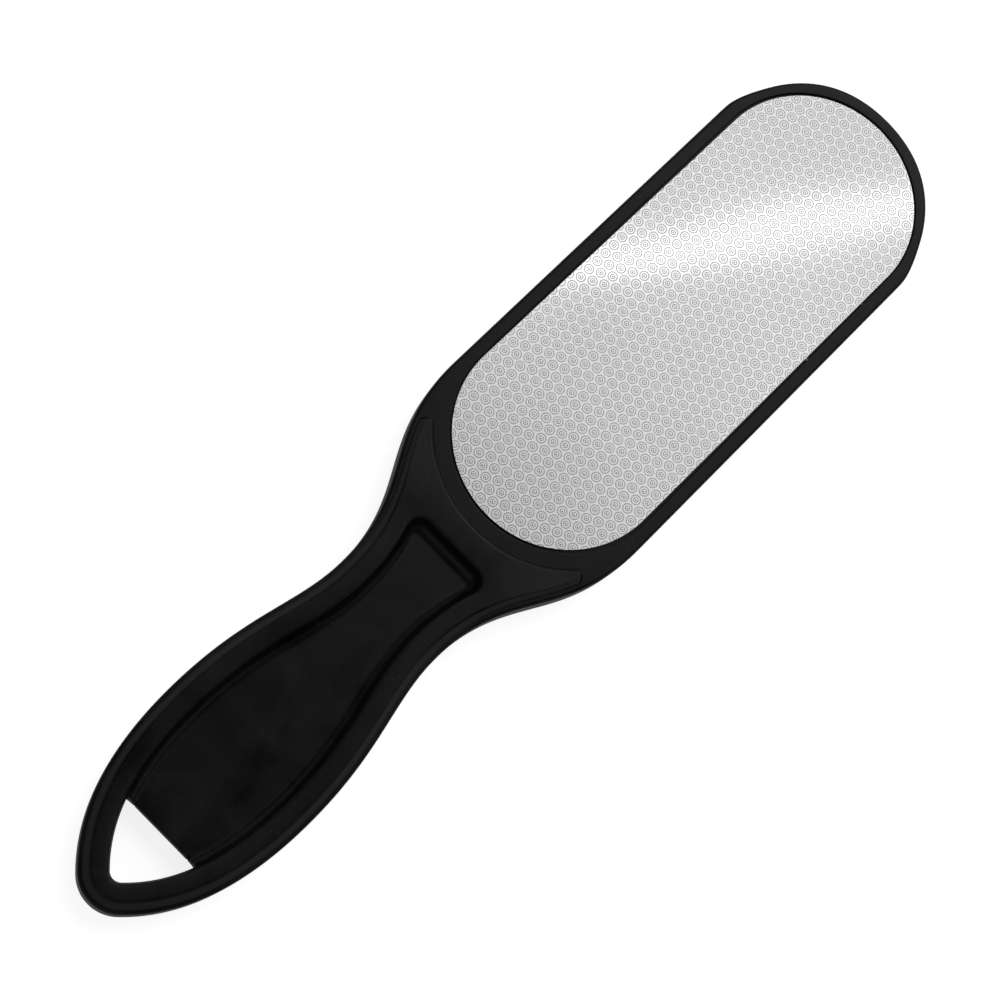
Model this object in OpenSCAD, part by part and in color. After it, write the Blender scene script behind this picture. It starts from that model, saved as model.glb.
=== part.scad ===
// Double-sided foot file: a moulded body with a file plate let into each face of its head.
// The long axis is X, with the hanging hole at -X and the head at +X. Z = 0 is the mould's parting plane.
// The origin is the middle of the length, on the centreline, in the parting plane.

/* [Body] */
// Length from the handle's end to the head's tip
overall_l = 266; // [240:0.1:290]
// Width of the head at the parting plane
head_w = 59.8; // [56:0.1:64]
// Length of the head's rounded end
head_end_l = 28.6; // [26:0.1:33]
// Thickness of the head, from frame face to frame face
head_t = 7.2; // [6:0.1:8.4]
// Thickness of the handle, from crown to crown
handle_t = 11.2; // [10:0.1:13]
// How far a side wall leans in between the parting plane and its edge
wall_lean = 0.7; // [0.3:0.05:0.9]
// Rounding of the body's outer edges
edge_r = 1.3; // [0.6:0.1:1.6]

/* [Handle] */
// Widest part of the handle
belly_w = 42; // [38:0.1:46]
// Distance from the handle's end to its widest part
belly_at = 45.3; // [42:0.1:49]
// Narrowest part of the handle
waist_w = 29.9; // [28:0.1:33]
// Distance from the handle's end to its narrowest part
waist_at = 90.3; // [87:0.1:94]
// Distance from the handle's end to where the head's sides run straight
shoulder_at = 142.2; // [138:0.1:147]
// Radius of the handle's end
tip_r = 9.3; // [8.8:0.1:10.5]

/* [Crown] */
// Ledge between the body's side and the foot of the raised crown
ledge_w = 1.3; // [1.1:0.1:1.7]
// Extra ledge beside the two horns that reach for the head
horn_ledge_w = 0.9; // [0:0.1:1.5]
// Rounding of the crown's outer shoulder
shoulder_r = 1.3; // [0.8:0.1:1.6]
// Flat of the frame between the plate's recess and the crown's hollow front
apron_w = 3.7; // [3:0.1:5]
// Distance from the handle's end to the tips of the horns
horn_at = 127.7; // [124:0.1:131]

/* [Pocket] */
// Width of the rim beside the pockets' far end
rim_w = 7.25; // [6.5:0.05:7.4]
// Width of the rim at the handle's end
end_rim_w = 6.75; // [6:0.05:7.4]
// Distance from the handle's end to the far wall of the pockets
pocket_at = 111.7; // [108:0.1:114]
// Radius of a pocket's two corners next to the head
pocket_corner_r = 3.4; // [2.4:0.1:4.5]
// Thickness of the web between the two pockets
web_t = 2.5; // [2:0.1:3.4]
// Lean of a pocket's wall from its lip to its floor
pocket_lean = 0.35; // [0.1:0.05:0.5]
// Rounding of a pocket's lip
lip_r = 0.7; // [0.4:0.1:1]
// Fillet between a pocket's wall and its floor
floor_r = 0.8; // [0.4:0.1:1]
// Distance from the handle's end to the web's straight edge at the hanging hole
hole_at = 21.2; // [18:0.1:26]

/* [File plates] */
// Length of a file plate
plate_l = 139.8; // [130:0.1:144]
// Width of a file plate, whose ends are half circles
plate_w = 52.2; // [46:0.1:53]
// Thickness of a file plate
plate_t = 0.5; // [0.4:0.05:0.8]
// Distance from the plate to the head's tip
tip_margin = 4.25; // [4:0.05:7]
// Gap round a plate in its recess
plate_gap = 0.45; // [0.3:0.05:0.6]
// How far a plate's face stands proud of the frame
plate_proud = 0.1; // [0:0.05:0.3]
// Thickness of the adhesive sheet under a plate
adhesive_t = 0.15; // [0.1:0.05:0.3]
// Distance that the adhesive sheet keeps from the plate's edge
adhesive_inset = 0.8; // [0.4:0.1:2]
// Angle by which the front plate was glued out of line
front_turn = -0.25; // [-0.3:0.05:0.3]

/* [Hidden] */

tip_x = -overall_l / 2;
head_r = head_w / 2;
head_x = overall_l / 2 - head_end_l;
plate_x = overall_l / 2 - tip_margin - plate_l / 2;
plate_r = plate_w / 2;
plate_c = plate_l / 2 - plate_r;
head_z = head_t / 2;
handle_z = handle_t / 2;
web_z = web_t / 2;
recess_z = head_z + plate_proud - plate_t - adhesive_t;
crown_front_r = plate_r + plate_gap + apron_w;
// Overrun of every cutting shape past the face that it opens
cut_over = 1.5;

// Points along each stretch of the outline
tip_steps = 8;
curve_steps = 16;
corner_steps = 6;
round_steps = 3;
// Angle that the arc of the handle's end turns through on each side
tip_swing = 43.6;
// Reach of the curves' handles, as shares of their stretches and, at the head's tip, of its half width
belly_back_share = 0.466;
tip_reach_share = 0.312;
belly_front_share = 0.494;
waist_back_share = 0.295;
waist_front_share = 0.47;
head_back_share = 0.48;
head_side_share = 0.197;
head_tip_share = 0.8;

function bezier(p, q, r, s, t) =
    pow(1 - t, 3) * p + 3 * pow(1 - t, 2) * t * q + 3 * (1 - t) * t * t * r + pow(t, 3) * s;
function stretch(p, q, r, s, steps) = [for (i = [1 : steps]) bezier(p, q, r, s, i / steps)];
function unit(v) = v / norm(v);
function last(list) = list[len(list) - 1];

// The body's outline on the +Y side, from the handle's end to the head's tip
tip_arc = [for (i = [0 : tip_steps])
    let (a = tip_swing * i / tip_steps)
    [tip_x + tip_r * (1 - cos(a)), tip_r * sin(a)]];
belly = [tip_x + belly_at, belly_w / 2];
waist = [tip_x + waist_at, waist_w / 2];
shoulder = [tip_x + shoulder_at, head_r];
tip_end = last(tip_arc);
tip_run = belly[0] - tip_end[0];
handle_run = waist[0] - belly[0];
neck_run = shoulder[0] - waist[0];
flank = stretch(tip_end, tip_end + tip_run * tip_reach_share * [sin(tip_swing), cos(tip_swing)],
    belly - [tip_run * belly_back_share, 0], belly, curve_steps);
hollow = stretch(belly, belly + [handle_run * belly_front_share, 0],
    waist - [handle_run * waist_back_share, 0], waist, curve_steps);
neck = stretch(waist, waist + [neck_run * waist_front_share, 0],
    shoulder - [neck_run * head_back_share, 0], shoulder, curve_steps);
head_corner = [head_x, head_r];
head_tip = [overall_l / 2, 0];
head_end = stretch(head_corner, head_corner + [head_end_l * head_side_share, 0],
    head_tip + [0, head_r * head_tip_share], head_tip, curve_steps);
outline = concat(tip_arc, flank, hollow, neck, [head_corner], head_end);
outline_n = len(outline);

// The inward normal at each point of the outline
function normal_at(i) =
    i == 0 ? [1, 0] : i == outline_n - 1 ? [-1, 0] :
    let (t = unit(outline[i + 1] - outline[i - 1])) [t[1], -t[0]];
normals = [for (i = [0 : outline_n - 1]) normal_at(i)];
function inset(d, count = outline_n) = [for (i = [0 : count - 1]) outline[i] + d * normals[i]];

// A closed solid through stacked outlines: each is [height, points on the +Y side]. Its first point lies
// on the centreline, and its last one does so or faces its own mirror image across a straight end
module loft(levels) {
    n = len(levels[0][1]);
    mirrored = last(levels[0][1])[1] == 0 ? n - 2 : n - 1;
    ring = n + mirrored;
    points = [for (level = levels) each concat(
        [for (p = level[1]) [p[0], p[1], level[0]]],
        [for (i = [mirrored : -1 : 1]) [level[1][i][0], -level[1][i][1], level[0]]])];
    top = (len(levels) - 1) * ring;
    function mate(i) = i == 0 ? 0 : ring - i;
    sides = [for (k = [0 : len(levels) - 2], i = [0 : ring - 1])
        let (a = k * ring + i, b = k * ring + (i + 1) % ring)
        each [[a, b, b + ring], [a, b + ring, a + ring]]];
    caps = [for (i = [0 : n - 2])
        let (u = i, v = i + 1, x = mate(i), y = mate(i + 1))
        each concat(
            y == v ? [] : [[u, y, v], [top + u, top + v, top + y]],
            x == u ? [] : [[u, x, y], [top + u, top + y, top + x]])];
    polyhedron(points, concat(sides, caps));
}

// Inset and height pairs of a wall that leans in and ends in a rounded edge
function edge_profile(lean, r, z) = concat([[0, 0], [lean, z - r]],
    [for (i = [1 : round_steps])
        let (a = 90 * i / round_steps) [lean + r * (1 - cos(a)), z - r * (1 - sin(a))]]);

module slab() {
    half = edge_profile(wall_lean, edge_r, head_z);
    n = len(half);
    loft(concat(
        [for (i = [n - 1 : -1 : 1]) [-half[i][1], inset(half[i][0])]],
        [for (p = half) [p[1], inset(p[0])]]));
}

// The crown's foot keeps the ledge's width, and a wider one beside the horns
function ledge_at(x) =
    let (t = min(1, max(0, (x - waist[0]) / (tip_x + horn_at - waist[0]))))
    ledge_w + horn_ledge_w * t * t * (3 - 2 * t);
crown_n = outline_n - len(head_end) - 1;
function crown_ring(d) = concat(
    [for (i = [0 : crown_n - 1]) outline[i] + (ledge_at(outline[i][0]) + d) * normals[i]],
    [[shoulder[0] + d, 0]]);

module crown() {
    half = edge_profile(0, shoulder_r, handle_z);
    n = len(half);
    difference() {
        loft(concat(
            [for (i = [n - 1 : -1 : 1]) [-half[i][1], crown_ring(half[i][0])]],
            [for (p = half) [p[1], crown_ring(p[0])]]));
        translate([plate_x - plate_c, 0, -handle_z - cut_over])
            cylinder(r = crown_front_r, h = handle_t + 2 * cut_over);
        translate([tip_x + horn_at, -head_w, -handle_z - cut_over])
            cube([overall_l, 2 * head_w, handle_t + 2 * cut_over]);
    }
}

// The rim's inner curve, e inside the pocket's lip: the rim widens evenly from the handle's end to the waist
function rim_at(x) = end_rim_w + (rim_w - end_rim_w) * min(1, (x - tip_x) / waist_at);
function rim_curve(e, count) =
    [for (i = [0 : count - 1]) outline[i] + (rim_at(outline[i][0]) + e) * normals[i]];
pocket_side_n = len([for (p = rim_curve(0, crown_n))
    if (p[0] < tip_x + pocket_at - 2 * pocket_corner_r) p]);

// One side of a pocket's outline, e inside its lip: the rim's inner curve, then the corner
function pocket_ring(e) =
    let (
        corner_line = rim_curve(e + pocket_corner_r, crown_n),
        corner_x = tip_x + pocket_at - e - pocket_corner_r,
        corner_y = lookup(corner_x, [for (p = corner_line) if (p[0] < shoulder[0]) p]),
        nearest = [for (i = [0 : crown_n - 1]) if (corner_line[i][0] < corner_x) i],
        first = last(nearest),
        blend = (corner_x - corner_line[first][0]) / (corner_line[first + 1][0] - corner_line[first][0]),
        out = -unit(normals[first] * (1 - blend) + normals[first + 1] * blend),
        start = atan2(out[1], out[0]),
        kept = rim_curve(e, pocket_side_n)
    )
    concat(kept,
        [for (i = [0 : corner_steps])
            let (a = start * (1 - i / corner_steps))
            [corner_x + pocket_corner_r * cos(a), corner_y + pocket_corner_r * sin(a)]]);

module pocket() {
    lip = [for (i = [0 : round_steps])
        let (a = 90 * i / round_steps) [handle_z - lip_r * (1 - cos(a)), -lip_r * (1 - sin(a))]];
    foot = [for (i = [0 : round_steps])
        let (a = 90 * i / round_steps)
        [web_z + floor_r * (1 - sin(a)), pocket_lean + floor_r * (1 - cos(a))]];
    top = [[handle_z + cut_over, -lip_r]];
    levels = concat(top, lip, foot);
    loft([for (i = [len(levels) - 1 : -1 : 0]) [levels[i][0], pocket_ring(levels[i][1])]]);
}

// The hanging hole runs down the pockets' walls at the handle's end, up to the web's straight edge
module hanging_hole() {
    side = [for (p = rim_curve(pocket_lean, crown_n)) if (p[0] < tip_x + hole_at) p];
    edge = last(side)[1];
    translate([0, 0, -web_z - floor_r])
        linear_extrude(2 * (web_z + floor_r))
            polygon(concat(side, [[tip_x + hole_at, edge], [tip_x + hole_at, -edge]],
                [for (i = [len(side) - 1 : -1 : 1]) [side[i][0], -side[i][1]]]));
}

module stadium(r, reach, h) {
    translate([-reach, -r, 0]) cube([2 * reach, 2 * r, h]);
    for (x = [-reach, reach]) translate([x, 0, 0]) cylinder(r = r, h = h);
}

module recess() {
    translate([plate_x, 0, recess_z])
        stadium(plate_r + plate_gap, plate_c, head_z - recess_z + cut_over);
}

module body() {
    color("#1c1c1d")
        difference() {
            union() {
                slab();
                crown();
            }
            for (side = [0, 1]) mirror([0, 0, side]) {
                pocket();
                recess();
            }
            hanging_hole();
        }
}

module plate() {
    translate([0, 0, recess_z + adhesive_t]) stadium(plate_r, plate_c, plate_t);
}

module adhesive() {
    translate([0, 0, recess_z]) stadium(plate_r - adhesive_inset, plate_c, adhesive_t);
}

module front_plate() {
    color("#cfd0d0") translate([plate_x, 0, 0]) rotate([0, 0, front_turn]) plate();
}

module rear_plate() {
    color("#c4c5c6") translate([plate_x, 0, 0]) mirror([0, 0, 1]) plate();
}

module front_adhesive() {
    color("#e9e4d2") translate([plate_x, 0, 0]) rotate([0, 0, front_turn]) adhesive();
}

module rear_adhesive() {
    color("#e9e4d2") translate([plate_x, 0, 0]) mirror([0, 0, 1]) adhesive();
}

body();
front_plate();
rear_plate();
front_adhesive();
rear_adhesive();
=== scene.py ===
# %% [markdown]
# A double-sided foot file lies on a pale floor: one black satin moulding, with a thin etched steel plate
# glued into each face of its head. The solids give the sizes and the places. This lesson gives the file its
# looks: the soft edges of the moulding, the rings etched in the steel, and the light in which both read
# well.

import bpy
import numpy as np
from mathutils import Matrix, Vector
from mathutils.geometry import delaunay_2d_cdt


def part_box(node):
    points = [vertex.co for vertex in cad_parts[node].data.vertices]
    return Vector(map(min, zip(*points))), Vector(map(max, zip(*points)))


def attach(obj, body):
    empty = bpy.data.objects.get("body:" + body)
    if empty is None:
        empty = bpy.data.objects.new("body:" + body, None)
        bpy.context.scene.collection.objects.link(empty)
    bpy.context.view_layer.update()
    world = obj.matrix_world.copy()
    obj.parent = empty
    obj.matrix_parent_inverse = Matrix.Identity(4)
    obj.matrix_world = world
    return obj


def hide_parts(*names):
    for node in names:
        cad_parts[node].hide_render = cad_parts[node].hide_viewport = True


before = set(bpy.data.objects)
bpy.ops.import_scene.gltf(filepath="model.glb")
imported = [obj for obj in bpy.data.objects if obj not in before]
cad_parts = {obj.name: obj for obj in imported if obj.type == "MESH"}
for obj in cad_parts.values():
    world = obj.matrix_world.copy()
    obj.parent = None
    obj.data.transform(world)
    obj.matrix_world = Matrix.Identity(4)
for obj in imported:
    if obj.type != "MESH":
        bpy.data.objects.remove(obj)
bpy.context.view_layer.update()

MM = 0.001
CLOSE = 1e-6
print("nodes:", sorted(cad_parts))

# %% [markdown]
# Every size below is in millimetres, in the frame of the solids: X runs from the hanging hole to the head's
# tip, Y across, and Z out of the front plate. What the solids can tell is read from their boxes, so that
# the looks can't drift from the construction. The rest are the mould maker's own sizes.

# %% Read the sizes that the frame gives
body_low, body_high = (np.array(corner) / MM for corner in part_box("body"))
plate_low, plate_high = (np.array(corner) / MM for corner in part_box("rear_plate"))
end_x, head_end_x = body_low[0], body_high[0]
head_r = body_high[1]
crown_z = body_high[2]
plate_top = -plate_low[2]
plate_t = plate_high[2] - plate_low[2]
plate_x = (plate_low[0] + plate_high[0]) / 2
plate_r = plate_high[1]
plate_c = (plate_high[0] - plate_low[0]) / 2 - plate_r
recess_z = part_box("front_adhesive")[0][2] / MM
print("body", np.round(body_high - body_low, 2), "plate", np.round(plate_high - plate_low, 2))

# %% [markdown]
# The moulding's outline is a run of smooth curves, as a pattern maker would draw it: a round end, a flank
# out to the belly, a hollow to the waist, a neck to the straight sides of the head, and the head's blunt
# round tip. Each curve is a Bezier stretch between two places where the outline runs parallel to the file's
# axis. Points set by hand would wobble, and every edge that follows the outline would repeat the wobble.
# One side is drawn and mirrored, so both sides stay alike.

# %% Draw the outline
tip_r, tip_swing = 9.3, 43.6
belly = np.array([end_x + 45.3, 21.0])
waist = np.array([end_x + 90.3, 14.95])
shoulder = np.array([end_x + 142.2, head_r])
head_corner = np.array([head_end_x - 28.6, head_r])
head_tip = np.array([head_end_x, 0.0])
flank_shares, hollow_shares, neck_shares = (0.312, 0.466), (0.494, 0.295), (0.47, 0.48)
corner_pull, tip_pull = 5.63, 0.8 * head_r
ALONG = np.array([1.0, 0.0])
ACROSS = np.array([0.0, 1.0])


def arc(centre, radius, start, stop, steps):
    """Points on an arc from start to stop degrees, both ends included."""
    angle = np.radians(np.linspace(start, stop, steps + 1))
    return np.array(centre) + radius * np.stack([np.cos(angle), np.sin(angle)], 1)


def bezier(p, q, r, s, steps):
    """A Bezier curve from p to s, both ends included, with its handles at q and r."""
    t = np.linspace(0, 1, steps + 1)[:, None]
    return (1 - t) ** 3 * p + 3 * (1 - t) ** 2 * t * q + 3 * (1 - t) * t * t * r + t**3 * s


def stretch(p, s, shares, steps, leave=ALONG):
    """A curve from p to s. Its handles are shares of the way between them along the file."""
    back, front = (share * (s[0] - p[0]) for share in shares)
    return bezier(p, p + back * leave, s - front * ALONG, s, steps)


tip_arc = arc([end_x + tip_r, 0], tip_r, 180, 180 - tip_swing, 12)
leave_tip = np.array([np.sin(np.radians(tip_swing)), np.cos(np.radians(tip_swing))])
side_line = np.concatenate([
    tip_arc[:-1],
    stretch(tip_arc[-1], belly, flank_shares, 48, leave_tip)[:-1],
    stretch(belly, waist, hollow_shares, 44)[:-1],
    stretch(waist, shoulder, neck_shares, 54)[:-1],
    np.linspace(shoulder, head_corner, 49)[:-1],
    bezier(head_corner, head_corner + corner_pull * ALONG, head_tip + tip_pull * ACROSS, head_tip, 64),
])
half = len(side_line)
print(half, "points on a side, ends off the axis by", round(float(np.abs(side_line[[0, -1], 1]).max()), 6))

# %% [markdown]
# Nearly every edge of the moulding follows the outline at some distance: the rounding of the side, the
# ledge round the raised crown, the rim and the pocket inside it. So the useful helper is one that steps
# inward from a closed line, by one distance or by a distance for each point. A pointwise step is enough
# here, because no step that is laid down is longer than the radius of the bend that it starts from.

# %% Close a line and step inward from it
def closed(side):
    """A clockwise loop from its +Y side, which starts on the axis. An end on the axis isn't repeated."""
    mirror = side[::-1] * [1, -1]
    ends_on_axis = abs(side[-1, 1]) < CLOSE
    return np.concatenate([side, mirror[1 if ends_on_axis else 0:-1]])


def both_sides(side):
    """An open line over both sides of the axis, from its +Y side, which starts on the axis."""
    return np.concatenate([side[:0:-1] * [1, -1], side])


def inward(loop):
    """The unit normals of a clockwise loop, which point inside."""
    ahead = np.roll(loop, -1, 0) - loop
    behind = loop - np.roll(loop, 1, 0)
    run = ahead / np.linalg.norm(ahead, axis=1)[:, None] + behind / np.linalg.norm(behind, axis=1)[:, None]
    run /= np.linalg.norm(run, axis=1)[:, None]
    return np.stack([run[:, 1], -run[:, 0]], 1)


def step_in(loop, distance):
    return loop + np.reshape(distance, (-1, 1)) * inward(loop)


def ease(x, start, stop):
    """From 0 to 1 with a soft start and stop."""
    t = np.clip((x - start) / (stop - start), 0, 1)
    return t * t * (3 - 2 * t)


outline = closed(side_line)
outline_x = outline[:, 0]
side_x = side_line[:, 0]
side_in = inward(outline)[:half]
print(len(outline), "points round the moulding")

# %% [markdown]
# The half of the moulding above its parting plane is a height over the plan, so it can be made as a relief
# map: loops of points at known heights, joined by a constrained Delaunay triangulation, which keeps every
# loop as a run of edges. A boolean of rounded solids would leave long thin faces where they meet. A voxel
# remesh would soften the thin lines. The loops put the points where the light will look for them: four or
# more on each rounding, and one more just beyond the broad ones, so that the flats shade as flats.

# %% Collect loops of points with heights
plan, heights, plan_edges = [], [], []


def lay(points, z, shut=True):
    """Adds a run of points at these heights, closed or open, with an edge between neighbours."""
    first = len(plan)
    count = len(points)
    plan.extend(map(tuple, points))
    heights.extend(np.broadcast_to(z, count))
    plan_edges.extend((first + i, first + i + 1) for i in range(count - 1))
    if shut:
        plan_edges.append((first + count - 1, first))


def quarter(steps):
    """Angles in radians for a rounding, from zero to a right angle."""
    return np.linspace(0, np.pi / 2, steps + 1)


# %% [markdown]
# The slab is the moulding's ground level: its side leans in from the parting plane for the mould to open,
# and ends in a rounded edge. It leans most round the head's end. Beside the crown, the edge is squeezed
# into the ledge that the crown leaves free. A bevel modifier could round the side too, but with one width
# all the way, and this one changes from place to place.

# %% Lay the slab's side and its rounded edge
plate_proud, edge_r, ledge_share = 0.1, 0.8, 0.985
head_z = plate_top - plate_proud
side_lean, tip_lean = 0.02, 0.75
lean_from, lean_to = head_corner[0] - 2, head_corner[0] + 12
ledge_w, ledge_growth, ledge_full_before_horn = 1.0, 0.35, 12
horn_x = end_x + 128.5


def ledge_at(x):
    """Width of the ledge, which is a little wider beside the horns than along the handle."""
    return ledge_w + ledge_growth * ease(x, waist[0], horn_x - ledge_full_before_horn)


wall_lean = side_lean + (tip_lean - side_lean) * ease(outline_x, lean_from, lean_to)
fits_ledge = np.minimum(1, ledge_share * ledge_at(outline_x) / (wall_lean + edge_r))
squeeze = np.where(outline_x < shoulder[0], fits_ledge, 1)
lay(outline, 0)
lay(step_in(outline, 0.5 * wall_lean * squeeze), 0.5 * (head_z - edge_r))
for a in quarter(6):
    inset = squeeze * (wall_lean + edge_r * (1 - np.cos(a)))
    lay(step_in(outline, inset), head_z - edge_r * (1 - np.sin(a)))
print("slab", len(plan), "points")

# %% [markdown]
# The crown is the raised part: it follows the handle's outline inside the ledge, reaches for the head with
# two horns, and is hollowed in front round the plate's end. Each horn ends in an arc that touches the side
# and the hollow front. Its radius could be tried out by hand, but it is found by halving an interval until
# the arc fits between the two, so it still fits when a size is changed.

# %% Draw the crown's foot line
recess_gap, front_land = 0.45, 3.7
recess_r = plate_r + recess_gap
front_cx, front_r = plate_x - plate_c, recess_r + front_land
run_gap = 0.4


def side_step(distance):
    """The side line, stepped inward by one distance or by a distance for each point."""
    return side_line + np.reshape(distance, (-1, 1)) * side_in


def turn_at(line, x):
    """The direction, in degrees, from the place at x on a stepped-in side line out to the side itself."""
    way = [np.interp(x, line[:, 0], -side_in[:len(line), i]) for i in (0, 1)]
    return np.degrees(np.arctan2(way[1], way[0]))


def up_to(line, x, room=run_gap):
    """The points of a line that stay some way short of x, so that no sliver forms before the next run."""
    return line[line[:, 0] < x - room]


def horn_centres(radius):
    """For a circle that reaches the horn's tip: its X, the Y at which it touches the side, the Y at which it
    touches the front, and the line of centres that touch the side."""
    x = horn_x - radius
    line = side_step(ledge_at(side_x) + radius)
    touches_front = np.sqrt((front_r + radius) ** 2 - (front_cx - x) ** 2)
    return x, np.interp(x, line[:, 0], line[:, 1]), touches_front, line


low, high = 0.5, 3.5
while high - low > CLOSE:
    horn_r = (low + high) / 2
    horn_cx, horn_cy, touches_front, horn_line = horn_centres(horn_r)
    low, high = (horn_r, high) if horn_cy > touches_front else (low, horn_r)
inner_turn = np.degrees(np.arctan2(-horn_cy, front_cx - horn_cx))
horn_end = arc([horn_cx, horn_cy], horn_r, turn_at(horn_line, horn_cx), inner_turn, 24)
hollow_front = arc([front_cx, 0], front_r, 180 + inner_turn, 180, 34)
crown_side = up_to(side_step(ledge_at(side_x)), horn_end[0, 0])
crown_foot = closed(np.concatenate([crown_side, horn_end, hollow_front[1:]]))
print("horn ends in a radius of", round(horn_r, 2), "at", round(float(horn_cy), 2), "off the axis")

# %% [markdown]
# The crown's wall slopes, most gently along the handle and most steeply in front. It ends in a rounding,
# broad at the handle, tight at the horns and between the two in front. Three bevels would meet in seams, so
# each point of the foot line has a slope and a radius of its own, which run softly from one stretch to the
# next. Towards the horns' tips the top falls a little.

# %% Lay the crown's wall and shoulder
shoulder_r, horn_shoulder_r, front_shoulder_r = 1.3, 0.25, 0.9
handle_slope, horn_slope, front_slope = np.radians((52, 60, 70))
horn_drop, horn_fall, horn_full_before_tip = 0.45, 16.0, 8
just_beyond = 0.15
horn_share = ease(crown_side[:, 0], waist[0], horn_x - horn_full_before_tip)
front_share = ease(np.arange(len(horn_end)), 0, len(horn_end) - 1)


def along_crown(handle, horn, front):
    """Values for the points of the crown's foot, from those at the handle, the horns and the front."""
    values = np.concatenate([
        handle + (horn - handle) * horn_share,
        horn + (front - horn) * front_share,
        np.full(len(hollow_front) - 1, front)])
    return np.concatenate([values, values[-2:0:-1]])


def shoulder_run(radius, steepest, top):
    """Width in plan of the sloping wall and of the rounding above it."""
    wall_height = top - radius * (1 - np.cos(steepest)) - head_z
    return wall_height / np.tan(steepest) + radius * np.sin(steepest)


rounding = along_crown(shoulder_r, horn_shoulder_r, front_shoulder_r)
slope = along_crown(handle_slope, horn_slope, front_slope)
crown_top = crown_z - horn_drop * ease(crown_foot[:, 0], horn_x - horn_fall, horn_x)
shoulder_width = shoulder_run(rounding, slope, crown_top)
lay(crown_foot, head_z)
for share in np.linspace(1, 0, 9):
    tilt = share * slope
    inset = shoulder_width - rounding * np.sin(tilt)
    lay(step_in(crown_foot, inset), crown_top - rounding * (1 - np.cos(tilt)))
lay(step_in(crown_foot, shoulder_width + just_beyond), crown_top)
print("crown", len(crown_foot), "points round its foot")

# %% [markdown]
# The pocket hollows the handle inside a rim of nearly even width. Its line follows the outline, and a round
# corner turns it into a straight far wall. The corner's centre lies a radius short of that wall, on the
# line that leaves room for the rim and for the radius. Cutting the pocket with a rounded block would be
# quicker, but the rim wouldn't keep its width.

# %% Draw the pocket's line
pocket_end_x, pocket_corner_r = end_x + 110.9, 3.4
rim_w, rim_growth = 6.4, 0.45


def rim_at(x):
    """Width of the rim, which grows evenly from the handle's end to the waist."""
    return rim_w + rim_growth * np.clip((x - end_x) / (waist[0] - end_x), 0, 1)


centre_line = side_step(rim_at(side_x) + pocket_corner_r)[side_x < head_corner[0]]
centre_x = pocket_end_x - pocket_corner_r
centre_y = np.interp(centre_x, centre_line[:, 0], centre_line[:, 1])
pocket_corner = arc([centre_x, centre_y], pocket_corner_r, turn_at(centre_line, centre_x), 0, 14)
pocket_side = up_to(side_step(rim_at(side_x)), pocket_corner[0, 0])
far_wall = np.linspace([pocket_end_x, centre_y], [pocket_end_x, 0], 8)[1:]
pocket = closed(np.concatenate([pocket_side, pocket_corner, far_wall]))
pocket_x = pocket[:, 0]
print("pocket", len(pocket), "points round its lip")

# %% [markdown]
# Between the shoulder and the pocket, the rim isn't flat: it falls away towards the pocket in a shallow
# dome, which is what catches light along the inner edge. The dome fades out where the rim meets the crown's
# bridge. A bump map could fake such a slope, but the edge of the lip has to sink with it, so the dome is
# laid in loops of its own. The lip is a rounding that starts at the dome's own slope, so that the two meet
# without a crease.

# %% Lay the dome, the lip and the pocket's wall
lip_r, pocket_lean, floor_r, floor_z = 0.6, 0.4, 2.5, 1.25
dome_drop, dome_end_share, dome_steps = 0.25, 0.25, 5
dome_full_x, dome_fade_x, dome_gone_x = end_x + 45, end_x + 80, end_x + 106
rim_shoulder = shoulder_run(shoulder_r, handle_slope, crown_z)


def drop_at(x):
    """How far the dome falls on its way to the pocket."""
    grown = dome_end_share + (1 - dome_end_share) * ease(x, end_x, dome_full_x)
    return dome_drop * grown * (1 - ease(x, dome_fade_x, dome_gone_x))


def lip_tilt_at(x):
    """The dome's slope where the lip starts. It falls as a parabola, so that is twice the mean slope."""
    dome_width = rim_at(x) - ledge_at(x) - rim_shoulder - lip_r
    return np.arctan(2 * drop_at(x) / dome_width)


on_dome = side_x < dome_gone_x
dome_line, dome_in = both_sides(side_line[on_dome]), both_sides(side_in[on_dome])
dome_x = dome_line[:, 0]
dome_start = ledge_at(dome_x) + rim_shoulder + just_beyond
dome_stop = rim_at(dome_x) - lip_r * (1 - np.sin(lip_tilt_at(dome_x)))
for share in np.linspace(0, 1, dome_steps + 1)[1:-1]:
    across = dome_start + share * (dome_stop - dome_start)
    lay(dome_line + across[:, None] * dome_in, crown_z - drop_at(dome_x) * share * share, shut=False)

lip_tilt = lip_tilt_at(pocket_x)
lip_top = crown_z - drop_at(pocket_x) + lip_r * (1 - np.cos(lip_tilt))
for share in np.linspace(0, 1, 7):
    tilt = lip_tilt + share * (np.pi / 2 - lip_tilt)
    lay(step_in(pocket, -lip_r * (1 - np.sin(tilt))), lip_top - lip_r * (1 - np.cos(tilt)))
lay(step_in(pocket, pocket_lean), floor_z + floor_r)
print("lip leans by up to", round(float(np.degrees(lip_tilt.max())), 1), "degrees where the dome ends")

# %% [markdown]
# The pocket's floor is a web at half depth, shared by the two faces. Near the handle's end it stops at a
# straight edge, and what is left beyond it is the hanging hole. The fillet along the floor stops at that
# edge too, so it is laid in open runs: closed loops would wrap it round the hole. The wall runs straight
# through to the other face.

# %% Lay the floor's fillet and the hanging hole
web_x, hole_draft = end_x + 21.2, 0.02
web_edge_x = web_x + hole_draft
web_edge_gap, past_fillet = 0.5, 0.2
fillet_end = pocket_lean + floor_r


def web_run(distance):
    """The pocket's line, stepped inward, from the web's straight edge round the far wall and back."""
    side = step_in(pocket, distance)[:len(pocket) // 2 + 1]
    edge_y = np.interp(web_edge_x, side[:len(pocket_side), 0], side[:len(pocket_side), 1])
    side = np.concatenate([[[web_edge_x, edge_y]], side[side[:, 0] > web_x + run_gap]])
    return np.concatenate([side, side[-2::-1] * [1, -1]])


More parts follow.
